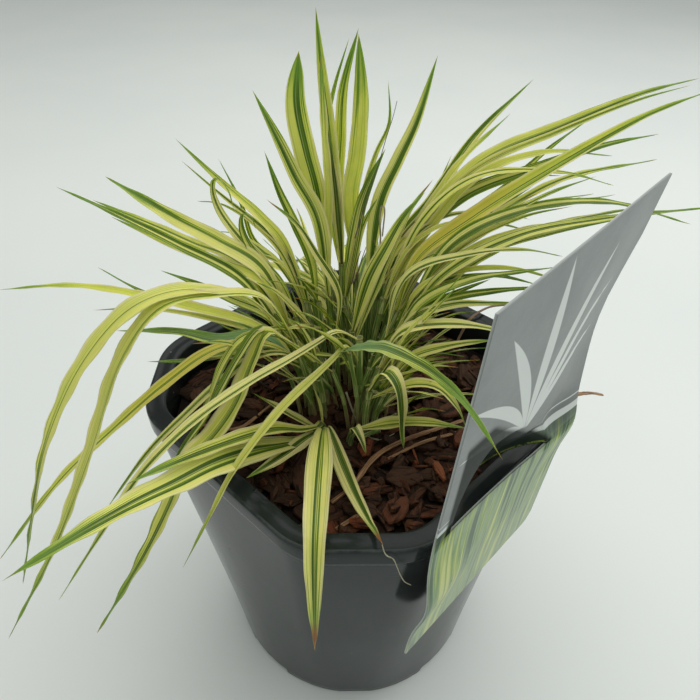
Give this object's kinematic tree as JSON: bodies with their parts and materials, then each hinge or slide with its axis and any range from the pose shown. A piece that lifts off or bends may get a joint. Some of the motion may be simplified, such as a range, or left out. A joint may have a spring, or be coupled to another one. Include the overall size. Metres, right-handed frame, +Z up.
{
  "type": "potted japanese forest grass",
  "caption": "Clump of variegated ornamental grass with arching blades in a square-mouthed plastic nursery pot topped with bark, with a plant label over the rim.",
  "frame": {"origin": "middle of the pot's flat underside", "axes": "+Z up, with the picture taken from the -Y side"},
  "size_m": [0.2684, 0.2126, 0.287],
  "materials": {
    "pot": "dark grey-black moulded plastic, satin to glossy",
    "mix": "dark moist potting mix",
    "bark": "rough reddish-brown bark chips",
    "leaf": "yellow-green leaf with dark green and cream stripes, soft sheen",
    "straw": "dry tan dead leaf and stalk",
    "label": "printed plastic card, mid grey over green, slight sheen"
  },
  "bodies": {
    "root": {"pot": "pot", "potting_mix": "mix", "bark_mulch": "bark", "plant_label": "label", "shoot_back_1": "leaf", "shoot_back_2": "leaf", "shoot_back_3": "leaf", "shoot_back_4": "leaf", "shoot_back_5": "leaf", "shoot_back_6": "leaf", "shoot_back_7": "leaf", "shoot_back_8": "leaf", "shoot_back_9": "leaf", "shoot_middle_1": "leaf", "shoot_left_1": "leaf", "shoot_left_2": "leaf", "shoot_left_3": "leaf", "shoot_left_4": "leaf", "shoot_left_5": "leaf", "shoot_left_6": "leaf", "shoot_front_left_1": "leaf", "shoot_front_left_2": "leaf", "shoot_front_left_3": "leaf", "shoot_front_left_4": "leaf", "shoot_front_left_5": "leaf", "shoot_front_low_1": "leaf", "shoot_right_1": "leaf", "shoot_right_2": "leaf", "shoot_right_3": "leaf", "shoot_right_4": "leaf", "shoot_right_5": "leaf", "shoot_right_6": "leaf", "shoot_right_7": "leaf", "shoot_right_8": "leaf", "shoot_right_9": "leaf", "shoot_right_10": "leaf", "shoot_right_11": "leaf", "shoot_front_right_1": "leaf", "shoot_front_right_2": "leaf", "shoot_front_right_3": "leaf", "shoot_rear_1": "leaf", "shoot_rear_2": "leaf", "shoot_rear_3": "leaf", "straw_1": "straw", "straw_2": "straw", "straw_3": "straw", "straw_4": "straw", "dry_stalk": "straw", "dry_leaf": "straw"}
  },
  "joints": []
}
